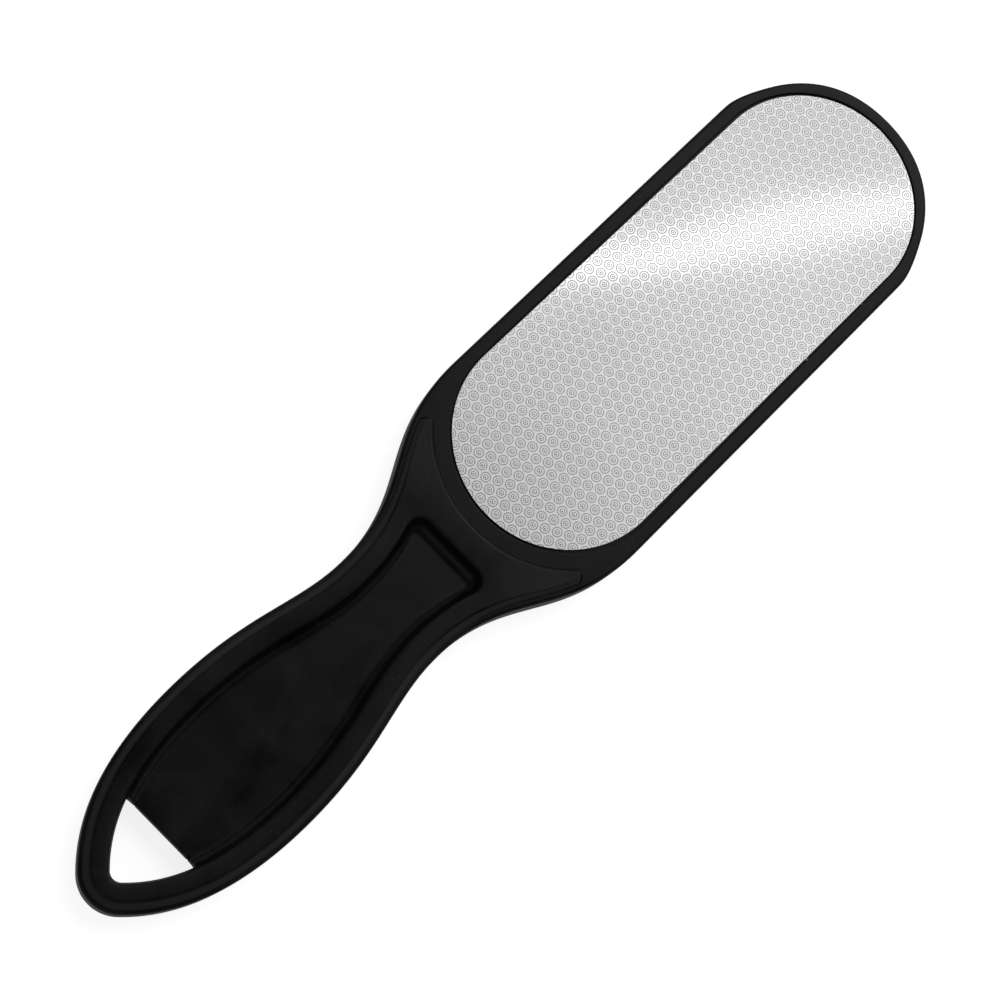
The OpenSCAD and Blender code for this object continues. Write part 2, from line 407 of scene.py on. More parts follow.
for a in quarter(8)[1:]:
    lay(web_run(pocket_lean + floor_r * (1 - np.cos(a))), floor_z + floor_r * (1 - np.sin(a)), shut=False)
web_floor = web_run(fillet_end + past_fillet)
lay(web_floor, floor_z, shut=False)
edge_y = web_floor[0, 1] - web_edge_gap
lay(np.linspace([web_edge_x, edge_y], [web_edge_x, -edge_y], 17), floor_z, shut=False)

hole_side = step_in(pocket, pocket_lean + hole_draft)[:len(pocket_side)]
hole_y = np.interp(web_x, hole_side[:, 0], hole_side[:, 1])
hole_edge = np.linspace([web_x, hole_y], [web_x, 0], 10)
hole = closed(np.concatenate([up_to(hole_side, web_x, room=0.3), hole_edge]))
lay(hole, 0)
print("hole", np.round(hole.max(0) - hole.min(0), 2))

# %% [markdown]
# Each plate sits in a recess and stands a little proud of it, with a small gap all round. The recess has a
# sharp bottom corner and a lip that is only just broken, as a steel core pin leaves it. A plate's outline
# and the recess are stadiums, so one helper draws both.

# %% Lay the recess
broken_r, recess_draft = 0.2, 0.05


def stadium(radius, spacing=0.9):
    """A clockwise loop: a half circle of this radius round each end of the plate, and straight sides."""
    steps = int(np.ceil(np.pi * radius / 2 / spacing))
    left = arc([plate_x - plate_c, 0], radius, 180, 90, steps)
    right = arc([plate_x + plate_c, 0], radius, 90, 0, steps)
    straight = np.linspace(left[-1], right[0], int(plate_c / spacing) + 1)[1:-1]
    return closed(np.concatenate([left, straight, right]))


recess = stadium(recess_r)
lay(step_in(recess, -2 * broken_r), head_z)
for a in quarter(3):
    lay(step_in(recess, -broken_r * (1 - np.sin(a))), head_z - broken_r * (1 - np.cos(a)))
lay(step_in(recess, recess_draft), recess_z)
print(len(plan), "points in all")

# %% [markdown]
# Large flats get a sparse field of points as well, in a triangular grid that keeps clear of the loops. It
# adds no shape, but it keeps the faces compact, which shades and exports better than a fan of long slivers.

# %% Fill the flats
def inside(points, loop):
    """True for each point inside a closed loop, by counting the edges to its right."""
    found = np.zeros(len(points), bool)
    for a, b in zip(loop, np.roll(loop, -1, 0)):
        spans = (a[1] > points[:, 1]) != (b[1] > points[:, 1])
        if spans.any():
            x = a[0] + (points[spans, 1] - a[1]) / (b[1] - a[1]) * (b[0] - a[0])
            found[spans] ^= points[spans, 0] < x
    return found


def grid_in(loop, spacing, clear, low=-np.inf):
    """Points of a triangular grid inside a loop, clear of its points by a distance and beyond low in X."""
    lo, hi = loop.min(0), loop.max(0)
    rows = np.arange(lo[1], hi[1], spacing * np.sqrt(0.75))
    points = np.array([(x + (k % 2) * spacing / 2, y) for k, y in enumerate(rows)
                       for x in np.arange(lo[0], hi[0], spacing)])
    points = points[inside(points, loop) & (points[:, 0] > low)]
    gap = np.array([np.hypot(*(loop - p).T).min() for p in points])
    return points[gap > clear]


web_spacing, web_clear, web_from = 2.0, 1.2, web_x + 1
recess_spacing, recess_clear = 6.0, 2.2
web_field = grid_in(pocket, web_spacing, fillet_end + web_clear, web_from)
recess_field = grid_in(recess, recess_spacing, recess_clear)
for field, z in ((web_field, floor_z), (recess_field, recess_z)):
    plan.extend(map(tuple, field))
    heights.extend([z] * len(field))
print(len(plan), "points with the flats")

# %% [markdown]
# The triangulation covers the whole convex hull, so the faces outside the outline and in the hole are
# dropped. The lower half is the upper one seen in the parting plane as in a mirror. The points of the
# outline and of the hole lie in that plane, so both halves share them, and the mesh closes without any
# welding.

# %% Make the moulding's mesh
def triangulate(points, edges, drop):
    """Triangles over the points, without those whose middle drop() marks, all facing up."""
    coords, _, faces, origin, _, _ = delaunay_2d_cdt([Vector(p) for p in points], edges, [], 0, CLOSE, True)
    source = np.array([o[0] if o else -1 for o in origin])
    crossings = np.flatnonzero(source < 0)
    if len(crossings):
        raise ValueError(f"loops cross in {len(crossings)} places, first at {tuple(coords[crossings[0]])}")
    faces = source[np.array(list(faces))]
    middle = np.array(points)[faces].mean(1)
    return faces[~drop(middle)]


def mesh_object(name, points, faces, smooth_below=35):
    """A linked object from points in millimetres, with edges sharper than an angle kept crisp."""
    mesh = bpy.data.meshes.new(name)
    mesh.from_pydata((np.array(points) * MM).tolist(), [], [tuple(map(int, f)) for f in faces])
    mesh.validate()
    mesh.shade_smooth()
    mesh.set_sharp_from_angle(angle=np.radians(smooth_below))
    made = bpy.data.objects.new(name, mesh)
    bpy.context.scene.collection.objects.link(made)
    print(name, len(mesh.vertices), "points", len(mesh.polygons), "faces")
    return made


top_faces = triangulate(plan, plan_edges, lambda p: ~inside(p, outline) | inside(p, hole))
top = np.column_stack([np.array(plan), np.array(heights, float)])
lies_in_plane = np.abs(top[:, 2]) < CLOSE
lower = np.arange(len(top))
lower[~lies_in_plane] = len(top) + np.arange((~lies_in_plane).sum())
points = np.concatenate([top, top[~lies_in_plane] * [1, 1, -1]])
faces = np.concatenate([top_faces, lower[top_faces][:, ::-1]])
used = np.unique(faces)
place = np.zeros(len(points), int)
place[used] = np.arange(len(used))
file_body = mesh_object("file_body", points[used], place[faces])

# %% [markdown]
# A file plate is a thin steel sheet, cut from a larger sheet with half-round ends and glued down. It is
# never dead flat: it carries long, very low waves, and they bend whatever it reflects. So its top is a
# field of points with a wave of about a hundredth of a millimetre, and the teeth later ride on the same
# wave. A noise texture could move the sheet as well, but a formula serves both the sheet and the teeth.

# %% Make the plates' sheets
front_turn = np.radians(-0.25)
short_wave_h, short_run_x, short_run_y, short_start = 0.010, 7.3, 9.1, 0.4
long_wave_h, long_run_x, long_run_y, long_start = 0.012, 17.0, 12.0, 1.3
edge_drop, field_spacing, field_clear = 0.06, 2.4, 1.6
sheet_edge = ((0.0, edge_drop), (0.02, 0.02), (0.07, 0.0), (0.2, 0.0))


def wave(points):
    """The sheet's own unevenness, in millimetres. Each wave turns by one radian in a run."""
    x, y = points[:, 0] - plate_x, points[:, 1]
    short_wave = np.sin(x / short_run_x + short_start) * np.cos(y / short_run_y)
    long_wave = np.sin(x / long_run_x - y / long_run_y + long_start)
    return short_wave_h * short_wave + long_wave_h * long_wave


def spun(points, angle):
    """Points of the plan, turned about the origin."""
    c, s = np.cos(angle), np.sin(angle)
    return points @ np.array([[c, s], [-s, c]])


def turned(points, angle):
    """Points of the plan, turned about the middle of the plate."""
    return spun(points - [plate_x, 0], angle) + [plate_x, 0]


def sheet_mesh(name, turn, side):
    """A plate with a broken top edge. side is 1 for the front face and -1 for the rear one."""
    rim = stadium(plate_r)
    count = len(rim)
    flat, z, edges = [], [], []
    for distance, drop in sheet_edge:
        first = len(flat)
        flat.extend(map(tuple, step_in(rim, distance)))
        z.extend([plate_top - drop] * count)
        edges.extend((first + i, first + (i + 1) % count) for i in range(count))
    field = grid_in(rim, field_spacing, field_clear)
    flat.extend(map(tuple, field))
    z.extend([plate_top] * len(field))
    faces = triangulate(flat, edges, lambda p: ~inside(p, rim))
    flat = turned(np.array(flat), turn)
    wave_share = np.clip((np.array(z) - plate_top) / edge_drop + 1, 0, 1)
    upper = np.column_stack([flat, np.array(z) + wave_share * wave(flat)])
    under = np.column_stack([flat[:count], np.full(count, plate_top - plate_t)])
    n = len(upper)
    walls = [(i, (i + 1) % count, n + (i + 1) % count, n + i) for i in range(count)]
    points = np.concatenate([upper, under]) * [1, 1, side]
    faces = [tuple(f) for f in faces] + walls + [tuple(n + np.arange(count))]
    if side < 0:
        faces = [f[::-1] for f in faces]
    return mesh_object(name, points, faces, smooth_below=12)


front_sheet = sheet_mesh("front_plate_sheet", front_turn, 1)
rear_sheet = sheet_mesh("rear_plate_sheet", 0.0, -1)

# %% [markdown]
# The sheet's cutting teeth are etched: acid eats the ground away and leaves small standing rings, in rows
# that nest like a honeycomb. Each ring is a narrow ridge with a flat top and teeth along its outer side.
# They are real ridges here, about as high as the eye can make out on the real sheet, because a bump map
# would lie flat in a side view. Their feet reach a little into the sheet, so that no gap shows under them.

# %% Draw the toothed ring
ring_pitch, teeth = 2.905, 16
crest_h, foot_z = 0.07, -0.03


def band(a, na, b, nb):
    """Faces between two rings of points. Their counts are equal, or one is twice the other."""
    n = max(na, nb)
    for i in range(n):
        j = (i + 1) % n
        corners = [a + i * na // n, a + j * na // n, b + j * nb // n, b + i * nb // n]
        yield tuple(dict.fromkeys(corners))


def circle(radii, z, square=0.0):
    """Points round the origin at one height, from their radii. square pulls out four corners."""
    angle = 2 * np.pi * np.arange(len(radii)) / len(radii)
    out = radii * (1 + square * np.cos(2 * angle) ** 2)
    return np.column_stack([out * np.cos(angle), out * np.sin(angle), np.full(len(radii), z)])


def ridge_ring(loops, square=0.0):
    """A closed ridge round the origin, from loops of radii, each with its height."""
    points = [circle(radii, z, square) for radii, z in loops]
    starts = np.cumsum([0] + [len(p) for p in points])
    faces = []
    for a in range(len(loops)):
        b = (a + 1) % len(loops)
        faces.extend(band(starts[a], len(points[a]), starts[b], len(points[b])))
    return np.concatenate(points), faces


def notched(count, high, low):
    """Radii for teeth round a ring: as many tips as gaps."""
    return np.where(np.arange(2 * count) % 2 == 0, high, low)


def toothed_ring(pitch, count, height, inner_foot, inner_top, outer_top, outer_foot):
    """A flat-topped ridge, its radii as shares of the pitch. The outer pairs are for tips and for gaps."""
    return ridge_ring([
        (np.full(count, inner_foot * pitch), foot_z), (np.full(count, inner_top * pitch), height),
        (notched(count, *outer_top) * pitch, height), (notched(count, *outer_foot) * pitch, foot_z)])


tooth_ring = toothed_ring(
    ring_pitch, teeth, crest_h,
    inner_foot=0.338, inner_top=0.368, outer_top=(0.422, 0.388), outer_foot=(0.452, 0.418))
print("faces of a toothed ring:", len(tooth_ring[1]))

# %% [markdown]
# Inside each toothed ring stands its hub: a smaller, squarer ring with a sharp top, and in its middle a low
# round point that the acid has nearly eaten away. The hub is a shape of its own, because its parts are
# small enough for plainer rings than the teeth need.

# %% Draw the hub
hub_sides, hub_h, hub_square = 12, 0.5 * crest_h, 0.04
low_point_share, low_point_h = 0.085, 0.015


def sharp_ring(pitch, sides, height, inner, top, outer, square=0.0):
    """A sharp-topped ridge, its radii as shares of the pitch. outer has one for each point of the foot."""
    return ridge_ring([(np.full(sides, inner * pitch), foot_z), (np.full(sides, top * pitch), height),
                       (outer * pitch, foot_z)], square)


def mound(radius, height, sides, levels=((1.0, foot_z),)):
    """A closed point on the origin. Each level, from the foot up, is a share of the radius and a height."""
    points = [circle(np.full(sides, radius * share), z) for share, z in levels]
    last = (len(levels) - 1) * sides
    faces = [f for first in range(0, last, sides) for f in band(first, sides, first + sides, sides)]
    faces += [(last + i, last + (i + 1) % sides, last + sides) for i in range(sides)]
    faces.append(tuple(range(sides - 1, -1, -1)))
    return np.concatenate(points + [[[0, 0, height]]]), faces


def together(*shapes):
    """One list of points and one of faces from several."""
    points, faces, first = [], [], 0
    for p, f in shapes:
        points.append(p)
        faces.extend(tuple(int(i) + first for i in face) for face in f)
        first += len(p)
    return np.concatenate(points), faces


hub_foot = np.full(hub_sides, 0.232)
hub_ring = sharp_ring(
    ring_pitch, hub_sides, hub_h, inner=0.145, top=0.185, outer=hub_foot, square=hub_square)
low_point_levels = [(1.0, foot_z)] + [(r, low_point_h * (1 - r**2)) for r in (1.0, 0.5)]
low_point = mound(low_point_share * ring_pitch, low_point_h, hub_sides, low_point_levels)
hub = together(hub_ring, low_point)
print("faces of a hub:", len(hub[1]))

# %% [markdown]
# One shape is repeated at every place of the lattice. Places well inside the sheet take it whole. Places
# that the sheet's edge runs through go into a mesh of their own, which a boolean trims to the sheet before
# the two are joined, so no tooth hangs over the recess. Instances would be lighter, but the ones at the
# edge couldn't be cut, and the mesh is wanted as real faces.

# %% Repeat the ridges over a sheet
trim_in, whole_gap, spare_rings = 0.04, 0.06, 40


def lattice(pitch, row_turn, through):
    """Places of a triangular lattice over the plate, with rows along X turned by an angle."""
    span = int(plate_c / pitch) + spare_rings
    i, j = np.meshgrid(np.arange(-span, span), np.arange(-span, span))
    rows = np.column_stack([(i + 0.5 * (j % 2)).ravel() * pitch, (j * np.sqrt(0.75)).ravel() * pitch])
    return spun(rows, row_turn) + through


def repeated(shape, places):
    points = (shape[0][None] + np.column_stack([places, np.zeros(len(places))])[:, None]).reshape(-1, 3)
    n = len(shape[0])
    faces = [tuple(i + k * n for i in face) for k in range(len(places)) for face in shape[1]]
    return points, faces


def trimmed(points, faces):
    """The part of a set of closed ridges that lies over the sheet."""
    whole = mesh_object("ridges_to_trim", points, faces)
    rim = step_in(stadium(plate_r), trim_in)
    n = len(rim)
    block = np.concatenate([np.column_stack([rim, np.full(n, z)]) for z in (-1.0, 1.0)])
    sides = [(i, n + i, n + (i + 1) % n, (i + 1) % n) for i in range(n)]
    ends = [tuple(range(n)), tuple(range(2 * n - 1, n - 1, -1))]
    cutter = mesh_object("sheet_block", block, sides + ends)
    cut = whole.modifiers.new("trim", "BOOLEAN")
    cut.operation, cut.solver, cut.object = "INTERSECT", "EXACT", cutter
    result = bpy.data.meshes.new_from_object(whole.evaluated_get(bpy.context.evaluated_depsgraph_get()))
    kept = np.array([v.co for v in result.vertices]) / MM, [tuple(p.vertices) for p in result.polygons]
    for used_up in (whole, cutter):
        bpy.data.objects.remove(used_up)
    return kept


def teeth_mesh(name, shape, radius, places, turn, side):
    """All copies of a ridge on one plate, as one object."""
    rim = stadium(plate_r)
    edge_gap = np.array([np.hypot(*(rim - p).T).min() for p in places])
    clear = edge_gap > radius + whole_gap
    whole = repeated(shape, places[inside(places, rim) & clear])
    points, faces = together(whole, trimmed(*repeated(shape, places[~clear])))
    flat = turned(points[:, :2], turn)
    points = np.column_stack([flat, plate_top + points[:, 2] + wave(flat)]) * [1, 1, side]
    if side < 0:
        faces = [f[::-1] for f in faces]
    return mesh_object(name, points, faces, smooth_below=20)


# %% [markdown]
# The plate was glued in a quarter of a degree off the file's axis, and the rows of rings were not quite
# square to the sheet it was cut from. The place of one ring and the turn of the rows fix all the others,
# and a turned lattice looks less machine-made than a straight one.

# %% Lay the front plate's rings
ring_place, row_turn = np.array([[28.52, -1.18]]), np.radians(0.376)
ring_reach, hub_reach = 0.455 * ring_pitch, 0.24 * ring_pitch
front_places = lattice(ring_pitch, row_turn - front_turn, turned(ring_place, -front_turn)[0])
front_teeth = teeth_mesh("front_ring_teeth", tooth_ring, ring_reach, front_places, front_turn, 1)
front_hubs = teeth_mesh("front_ring_hubs", hub, hub_reach, front_places, front_turn, 1)

# %% [markdown]
# The photographed face has the coarse teeth. The other face of such a file is the finishing side, so its
# rings are smaller and lower, each with a sharp point in its middle. They are made by the same helpers,
# with other sizes.

# %% Make the finer rear teeth
fine_pitch, fine_h, fine_teeth = 2.2, 0.05, 12
fine_ring = together(
    sharp_ring(fine_pitch, fine_teeth, fine_h, inner=0.30, top=0.35, outer=notched(fine_teeth, 0.43, 0.38)),
    mound(0.13 * fine_pitch, fine_h, 6))
fine_reach = 0.44 * fine_pitch
fine_places = lattice(fine_pitch, 0.0, np.array([plate_x, 0.0]))
rear_teeth = teeth_mesh("rear_ring_teeth", fine_ring, fine_reach, fine_places, 0.0, -1)

# %% [markdown]
# Materials come next. Three effects are shared: the fine grain that a spark-eroded mould leaves, broad
# smudges that hands leave, and a little dust. Each is a node group that works on places in the object's own
# space, in metres, so its scale is a real one and stays with the object whatever the camera does.

# %% Helpers for nodes
def add(tree, kind, inputs=(), **settings):
    made = tree.nodes.new("ShaderNode" + kind)
    for key, value in settings.items():
        setattr(made, key, value)
    for key, value in dict(inputs).items():
        made.inputs[key].default_value = value
    return made


def new_group(name, inputs, outputs):
    """An empty node group with these inputs, numbers or places, and its two end nodes."""
    group = bpy.data.node_groups.new(name, "ShaderNodeTree")
    for label, value in inputs.items():
        kind = "NodeSocketVector" if label == "Vector" else "NodeSocketFloat"
        socket = group.interface.new_socket(label, in_out="INPUT", socket_type=kind)
        socket.default_value = value
    for label in outputs:
        group.interface.new_socket(label, in_out="OUTPUT", socket_type="NodeSocketFloat")
    return group, group.nodes.new("NodeGroupInput"), group.nodes.new("NodeGroupOutput")


def emptied(owner, kind):
    """The node tree of a material or a world with nothing in it but a new output node, and that node."""
    owner.use_nodes = True
    owner.node_tree.nodes.clear()
    return owner.node_tree, add(owner.node_tree, kind)


def use(tree, group, **values):
    made = tree.nodes.new("ShaderNodeGroup")
    made.node_tree = group
    for key, value in values.items():
        made.inputs[key].default_value = value
    return made


def join(tree, *wires):
    """Links nodes. A wire is a node and the output it leaves, then a node and the input it enters."""
    for source, leaves, target, enters in wires:
        tree.links.new(source.outputs[leaves], target.inputs[enters])


# %% [markdown]
# The grain is a few thousandths of a millimetre deep, too fine for any mesh, so it is bump: noise for the
# height of the surface and small round pits on top of it. Stretch draws it out along the file, as rolling
# does with steel.

# %% Group for fine grain
fine_grain, ends, out = new_group("fine_grain", {"Scale": 3000.0, "Stretch": 1.0}, ["Height", "Tone"])
where = add(fine_grain, "TexCoord")
split = add(fine_grain, "SeparateXYZ")
along = add(fine_grain, "Math", operation="MULTIPLY")
place_node = add(fine_grain, "CombineXYZ")
grain = add(fine_grain, "TexNoise", {"Detail": 3.0, "Roughness": 0.6})
pits = add(fine_grain, "TexVoronoi", feature="SMOOTH_F1")
both = add(fine_grain, "Math", operation="ADD")
join(fine_grain, (where, "Object", split, 0), (split, "X", along, 0), (ends, "Stretch", along, 1),
     (along, 0, place_node, "X"), (split, "Y", place_node, "Y"), (split, "Z", place_node, "Z"))
for texture in (grain, pits):
    join(fine_grain, (place_node, 0, texture, "Vector"), (ends, "Scale", texture, "Scale"))
join(fine_grain, (grain, "Fac", both, 0), (pits, "Distance", both, 1), (both, 0, out, "Height"),
     (grain, "Fac", out, "Tone"))
print("fine_grain:", len(fine_grain.nodes), "nodes")

# %% [markdown]
# Hands leave smudges: patches as wide as a fingertip with soft borders. A painted map would need the pieces
# unwrapped, so one slow noise makes them, and Contrast says how far it may swing about its middle value.

# %% Group for handling smudges
smudges, ends, out = new_group("handling_smudges", {"Scale": 60.0, "Contrast": 1.0}, ["Value"])
where = add(smudges, "TexCoord")
broad = add(smudges, "TexNoise", {"Detail": 4.0, "Roughness": 0.55, "Distortion": 0.6})
centred = add(smudges, "Math", {1: 0.5}, operation="SUBTRACT")
scaled = add(smudges, "Math", operation="MULTIPLY")
back = add(smudges, "Math", {1: 0.5}, operation="ADD", use_clamp=True)
join(smudges, (where, "Object", broad, "Vector"), (ends, "Scale", broad, "Scale"),
     (broad, "Fac", centred, 0), (centred, 0, scaled, 0), (ends, "Contrast", scaled, 1),
     (scaled, 0, back, 0), (back, 0, out, "Value"))
print("handling_smudges:", len(smudges.nodes), "nodes")

# %% [markdown]
# Dust lies as single specks, more of them in some places than in others. The specks are the middles of
# small cells, and a slower noise picks the patches in which they show. Specks scattered as objects would
# look the same and weigh far more.

# %% Group for dust
dust, ends, out = new_group("dust_specks", {"Scale": 800.0, "Size": 0.12, "Amount": 0.5}, ["Mask"])
where = add(dust, "TexCoord")
cells = add(dust, "TexVoronoi", {"Randomness": 1.0})
patchy = add(dust, "TexNoise", {"Scale": 45.0, "Detail": 2.0})
near = add(dust, "Math", operation="LESS_THAN")
chosen = add(dust, "Math", operation="GREATER_THAN")
kept = add(dust, "Math", operation="MULTIPLY")
join(dust, (where, "Object", cells, "Vector"), (where, "Object", patchy, "Vector"),
     (ends, "Scale", cells, "Scale"), (cells, "Distance", near, 0), (ends, "Size", near, 1),
     (patchy, "Fac", chosen, 0), (ends, "Amount", chosen, 1), (near, 0, kept, 0), (chosen, 0, kept, 1),
     (kept, 0, out, "Mask"))
print("dust_specks:", len(dust.nodes), "nodes")

# %% [markdown]
# On the rear sheet the acid also dulls the ground inside each ring. The discs follow the rings, so the last
# group knows the same lattice: a triangular lattice is two plain rectangular ones, one shifted by half a
# cell both ways, and the nearer of their two nearest places is the middle of the ring.

# %% Group for the distance to the nearest ring's middle
honeycomb, ends, out = new_group("ring_lattice", {"Vector": (0, 0, 0)}, ["Distance"])
cell, flat_cell = (1.0, 3**0.5, 1.0), (1.0, 3**0.5, 0)
nearest = add(honeycomb, "Math", operation="MINIMUM")
for k, shift in enumerate((0.5, 1.0)):
    in_cells = add(honeycomb, "VectorMath", {1: cell}, operation="DIVIDE")
    moved = add(honeycomb, "VectorMath", {1: (shift, shift, 0)}, operation="ADD")
    part = add(honeycomb, "VectorMath", operation="FRACTION")
    centred = add(honeycomb, "VectorMath", {1: (0.5, 0.5, 0)}, operation="SUBTRACT")
    scaled = add(honeycomb, "VectorMath", {1: flat_cell}, operation="MULTIPLY")
    length = add(honeycomb, "VectorMath", operation="LENGTH")
    join(honeycomb, (ends, "Vector", in_cells, 0))
    for a, b in ((in_cells, moved), (moved, part), (part, centred), (centred, scaled), (scaled, length)):
        join(honeycomb, (a, 0, b, 0))
    join(honeycomb, (length, "Value", nearest, k))
join(honeycomb, (nearest, 0, out, "Distance"))
print("ring_lattice:", len(honeycomb.nodes), "nodes")

# %% [markdown]
# A finish is a material: a Principled shader whose colour, roughness and normal come from the groups. Metal
# and plastic differ in the shader's plain sockets, and in how strong and how large each effect is. One
# function makes them all, so a change to an effect reaches every piece.

# %% A finish from the shared groups
def finish(name, tones, rough, grain_scale, grain_depth, stretch_x=1.0, smudge_scale=60.0, contrast=1.0,
           dust_colour=(0.2, 0.2, 0.2, 1), dust_from=0.6, dust_size=0.1, **sockets):
    """tones and rough are pairs: the values where the smudges are weakest and strongest."""
    made = bpy.data.materials.new(name)
    tree, out = emptied(made, "OutputMaterial")
    shader = add(tree, "BsdfPrincipled")
    for key, value in sockets.items():
        shader.inputs[key.replace("_", " ")].default_value = value
    smudge = use(tree, smudges, Scale=smudge_scale, Contrast=contrast)
    texture = use(tree, fine_grain, Scale=grain_scale, Stretch=stretch_x)
    speck = use(tree, dust, Size=dust_size, Amount=dust_from)
    colour = add(tree, "Mix", data_type="RGBA")
    colour.inputs["A"].default_value, colour.inputs["B"].default_value = tones
    dusty = add(tree, "Mix", data_type="RGBA")
    dusty.inputs["B"].default_value = dust_colour
    roughness = add(tree, "MapRange", {"To Min": rough[0], "To Max": rough[1]})
    bump = add(tree, "Bump", {"Strength": 1.0, "Distance": grain_depth})
    join(tree, (smudge, "Value", colour, "Factor"), (colour, "Result", dusty, "A"),
         (speck, "Mask", dusty, "Factor"), (dusty, "Result", shader, "Base Color"),
         (smudge, "Value", roughness, "Value"), (roughness, "Result", shader, "Roughness"),
         (texture, "Height", bump, "Height"), (bump, "Normal", shader, "Normal"),
         (shader, 0, out, "Surface"))
    print(name, len(tree.nodes), "nodes")
    return made


def grey(value, warm=0.0):
    return (value * (1 + warm), value, value * (1 - warm), 1)


# %% [markdown]
# The moulding is black satin plastic, so it has very little colour, a faint reflection and a grain that
# spreads it. The sheets are bright steel that mirrors the room, with a grain drawn out along the file as
# rolling leaves it. The teeth are duller than the sheet, because the acid has been at their sides.

# %% Give each piece its finish
rolled = dict(grain_scale=1500, grain_depth=0.00000004, stretch_x=0.35, smudge_scale=35,
              dust_colour=grey(0.4), dust_from=0.80, dust_size=0.05, Metallic=1.0)
satin_black = finish(
    "satin_black_plastic", tones=(grey(0.0005), grey(0.0100)), rough=(0.27, 0.38), grain_scale=2600,
    grain_depth=0.000004, smudge_scale=90, contrast=2.6, dust_colour=grey(0.035), dust_from=0.54,
    dust_size=0.12, Specular_IOR_Level=0.22)
bright_steel = finish("bright_etched_steel", tones=(grey(0.64), grey(0.70)), rough=(0.05, 0.08), **rolled)
rear_steel = finish("rear_etched_steel", tones=(grey(0.62), grey(0.70)), rough=(0.10, 0.16), **rolled)
tooth_steel = finish(
    "etched_tooth_steel", tones=(grey(0.42), grey(0.50)), rough=(0.11, 0.16), grain_scale=4000,
    grain_depth=0.000001, dust_colour=grey(0.3), dust_from=0.9, Metallic=1.0)
film = finish(
    "mounting_film", tones=(grey(0.62, 0.06), grey(0.72, 0.06)), rough=(0.45, 0.6), grain_scale=1200,
    grain_depth=0.00001)


# %% [markdown]
# On the rear sheet the rings are so fine that their dulled ground reads as a pattern of discs. The discs
# multiply the colour that the finish already has, so the smudges and the dust stay on top of them.

# %% Dull the ground inside the rear rings
disc_out, disc_in, dull_tone = 0.36, 0.32, 0.86


def dull_discs(material, pitch, through, tone):
    """Dulls the ground inside the rings of a lattice, from its pitch and one ring's place."""
    tree = material.node_tree
    shader = next(n for n in tree.nodes if n.type == "BSDF_PRINCIPLED")
    where = add(tree, "TexCoord")
    mapped = add(tree, "Mapping", vector_type="TEXTURE")
    mapped.inputs["Location"].default_value = (through[0] * MM, through[1] * MM, 0)
    mapped.inputs["Scale"].default_value = (pitch * MM,) * 3
    rings = use(tree, honeycomb)
    disc = add(tree, "MapRange", {"From Min": disc_out, "From Max": disc_in},
               interpolation_type="SMOOTHSTEP")
    dulled = add(tree, "Mix", data_type="RGBA", blend_type="MULTIPLY")
    dulled.inputs["B"].default_value = grey(tone)
    join(tree, (where, "Object", mapped, "Vector"), (mapped, 0, rings, "Vector"),
         (rings, "Distance", disc, "Value"), (disc, "Result", dulled, "Factor"))
    tree.links.new(shader.inputs["Base Color"].links[0].from_socket, dulled.inputs["A"])
    join(tree, (dulled, "Result", shader, "Base Color"))
    print(material.name, "dulled in discs of", round(disc_out * pitch, 2), "mm")


dull_discs(rear_steel, fine_pitch, (plate_x, 0.0), dull_tone)

# %% [markdown]
# Nothing on a foot file moves, so every piece rides on the one body. The first piece of each node takes the
# place of the node's solid, and the two glue films stay the solids that they are, in a finish of their own.

# %% Dress the pieces
def dress(piece, material, slot, *nodes):
    piece.data.materials.append(material)
    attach(piece, "root")
    if nodes:
        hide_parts(*nodes)


dress(file_body, satin_black, "body", "body")
dress(front_sheet, bright_steel, "front_plate", "front_plate")
dress(front_teeth, tooth_steel, "front_plate")
dress(front_hubs, tooth_steel, "front_plate")
dress(rear_sheet, rear_steel, "rear_plate", "rear_plate")
dress(rear_teeth, tooth_steel, "rear_plate")
for node in ("front_adhesive", "rear_adhesive"):
    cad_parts[node].data.materials.clear()
    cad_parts[node].data.materials.append(film)
print("dressed", len(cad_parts), "nodes")

# %% [markdown]
# The camera stands where the lattice of rings says it stood: rows of equal rings shrink and lean with the
# view, and that fixes both the direction and the distance. It looks down from the handle's side, with the
# file's axis turned to run from the lower left to the upper right. Its view is set to show colours just as
# they are written.

# %% Set the camera
right = Vector((0.67927, -0.69876, 0.22435))
up = Vector((0.66293, 0.71536, 0.22087))
stand = Vector((-185.53, -0.52, 543.98))
camera_data = bpy.data.cameras.new("camera")
camera_data.lens, camera_data.sensor_width = 91.08, 36.0
camera_data.clip_start, camera_data.clip_end = 0.01, 20.0
camera = bpy.data.objects.new("camera", camera_data)
bpy.context.scene.collection.objects.link(camera)
turn = Matrix((right, up, right.cross(up))).transposed().to_4x4()
camera.matrix_world = Matrix.Translation(stand * MM) @ turn
bpy.context.scene.camera = camera
bpy.context.scene.view_settings.view_transform = "Standard"
print("camera", round(stand.length), "mm from the middle of the file")

# %% [markdown]
# The floor is a plain pale surface right under the file. It is lit like anything else, so that it takes the
# file's shadow, and for the camera it also glows, which brings its own pale grey up to white. A white world
# alone would give the same ground, but the file would float on it without a shadow. In reflections the
# floor glows only a little, as a floor does that lies in the shade of what stands on it.

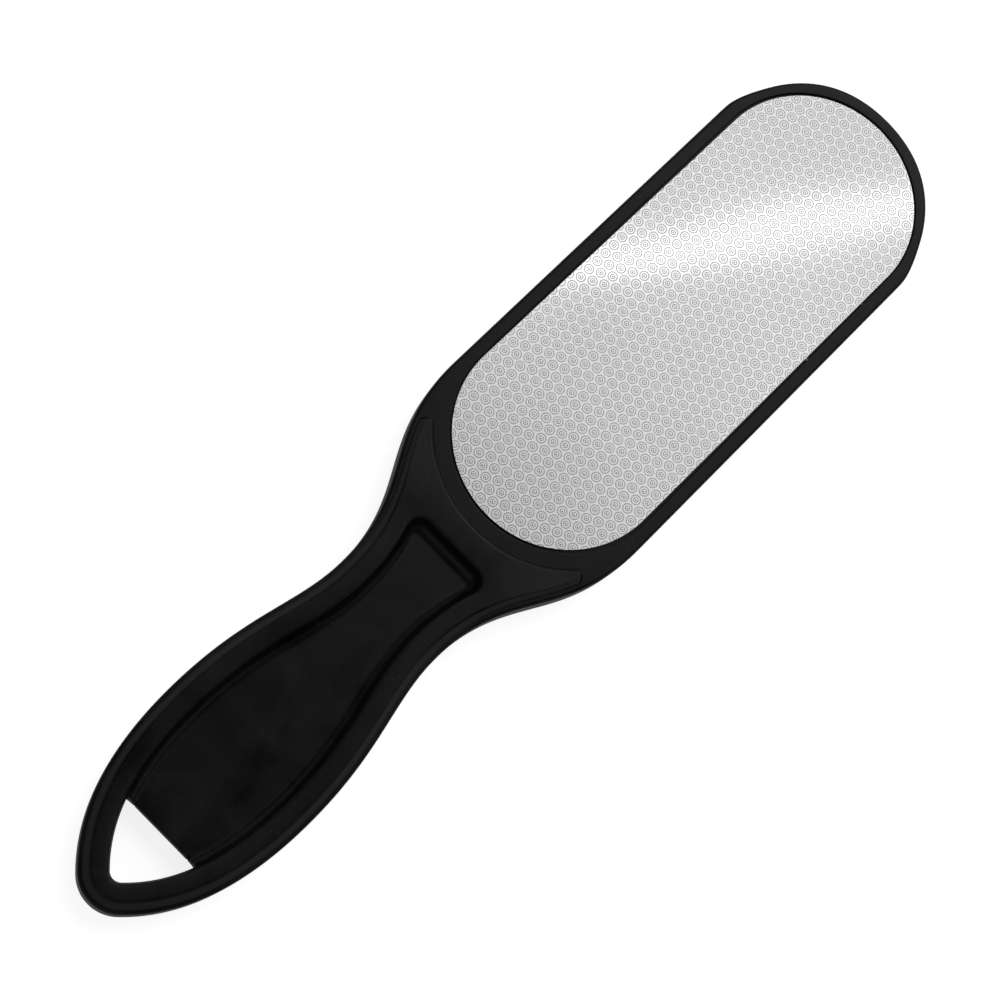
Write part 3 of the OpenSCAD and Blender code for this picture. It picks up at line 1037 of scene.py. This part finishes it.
# %% Lay the floor
floor_half = 3000.0
glow_level, mirrored_share = 0.84, 0.14
corners = [(x * floor_half, y * floor_half, -crown_z) for x, y in ((-1, -1), (1, -1), (1, 1), (-1, 1))]
floor = mesh_object("studio_floor", corners, [(0, 1, 2, 3)])
pale = bpy.data.materials.new("pale_floor")
tree, out = emptied(pale, "OutputMaterial")
matt = add(tree, "BsdfDiffuse", {"Color": grey(0.82)})
glow = add(tree, "Emission", {"Color": grey(1.0)})
path = add(tree, "LightPath")
straight = add(tree, "Math", operation="ADD")
mirrored = add(tree, "Math", {1: mirrored_share}, operation="MULTIPLY")
seen = add(tree, "Math", operation="ADD")
lit = add(tree, "Math", {1: glow_level}, operation="MULTIPLY")
total = add(tree, "AddShader")
join(tree, (path, "Is Camera Ray", straight, 0), (path, "Is Transmission Ray", straight, 1),
     (path, "Is Glossy Ray", mirrored, 0), (straight, 0, seen, 0), (mirrored, 0, seen, 1), (seen, 0, lit, 0),
     (lit, 0, glow, "Strength"), (matt, 0, total, 0), (glow, 0, total, 1), (total, 0, out, "Surface"))
floor.data.materials.append(pale)

# %% [markdown]
# The light is a studio's: a big soft bank beyond the head, low pale walls at the sides, a weaker light
# behind the handle and a dark ceiling over the camera. Black plastic shows nothing but the room it
# reflects, so the room is drawn as a world of soft zones. Area lamps could stand in for the zones, but
# their borders would be hard, and soft borders are what rounds the edges here. Each direction is projected
# on the ceiling plane, as u along the file and v across it, because there a straight bank of light has
# straight edges.

# %% Project the directions on the ceiling
world = bpy.data.worlds.new("studio")
bpy.context.scene.world = world
tree, out = emptied(world, "OutputWorld")
lowest = 0.04


def math_node(operation, a, b=0.0):
    """A Math node on two sockets or numbers."""
    made = add(tree, "Math", operation=operation)
    for i, value in enumerate((a, b)):
        if isinstance(value, (int, float)):
            made.inputs[i].default_value = value
        else:
            tree.links.new(value, made.inputs[i])
    return made.outputs[0]


where = add(tree, "TexCoord")
split = add(tree, "SeparateXYZ")
join(tree, (where, "Generated", split, 0))
height = math_node("MAXIMUM", split.outputs["Z"], lowest)
u = math_node("DIVIDE", split.outputs["X"], height)
v = math_node("DIVIDE", split.outputs["Y"], height)
sideways = math_node("ABSOLUTE", v)
print("the ceiling reaches to", round(1 / lowest), "times its height")

# %% [markdown]
# Each zone is a run of soft steps from one level to the next, so a bank has no hard edge that a glossy
# piece would show as a line. The bank's own steps shade the plate from its far end to the near one. It
# reaches full strength only straight ahead, so the fillets that face sideways stay dark.

# %% Draw the zones of light
def zone(value, start, stop, low, high):
    """A soft step of a socket's value from low to high between start and stop."""
    made = add(tree, "MapRange", {"From Min": start, "From Max": stop, "To Min": low, "To Max": high},
               interpolation_type="SMOOTHSTEP")
    tree.links.new(value, made.inputs["Value"])
    return made.outputs["Result"]


def levels(value, steps):
    """Light that goes softly from one level to the next along a coordinate, from (place, level) pairs."""
    (place, level), *others = steps
    light = level
    for next_place, next_level in others:
        light = math_node("ADD", zone(value, place, next_place, 0.0, next_level - level), light)
        place, level = next_place, next_level
    return light


bank = levels(u, (
    (-1.40, 0.45), (-0.60, 0.08), (-0.10, 0.0), (0.27, 0.0), (0.33, 0.84), (0.40, 1.02), (0.48, 1.17),
    (0.58, 1.14), (0.72, 1.60), (1.20, 1.10), (4.00, 1.10)))
reach = levels(sideways, ((0.25, 1.0), (0.60, 0.12), (2.00, 0.12), (3.50, 0.50)))
walls = levels(sideways, ((0.10, 0.0), (0.28, 0.22), (0.55, 0.03), (2.80, 0.16)))
print("zones drawn with", len(tree.nodes), "nodes")

# %% [markdown]
# A narrow bright strip crosses the bank at a slant. The plate mirrors it as the pale band across its
# middle, in which the rings fade, and it is too narrow to show on the rough plastic.

# %% Add the strip and hand the light to the world
strip_u, strip_v, strip_lean = 0.506, 0.0038, np.radians(32)
strip_wide, strip_level = 0.012, 1.50
off_u = math_node("MULTIPLY", math_node("SUBTRACT", u, strip_u), float(np.sin(strip_lean)))
off_v = math_node("MULTIPLY", math_node("SUBTRACT", v, strip_v), float(np.cos(strip_lean)))
off_strip = math_node("ABSOLUTE", math_node("ADD", off_u, off_v))
strip = zone(off_strip, 0.0, strip_wide, strip_level, 0.0)
room = math_node("ADD", math_node("ADD", math_node("MULTIPLY", bank, reach), walls), strip)
studio = add(tree, "Background", {"Color": grey(1.0)})
white = add(tree, "Background", {"Color": grey(1.0), "Strength": 1.0})
path = add(tree, "LightPath")
choose = add(tree, "MixShader")
tree.links.new(room, studio.inputs["Strength"])
join(tree, (path, "Is Camera Ray", choose, "Fac"), (studio, 0, choose, 1), (white, 0, choose, 2),
     (choose, 0, out, "Surface"))
print("world", len(tree.nodes), "nodes")
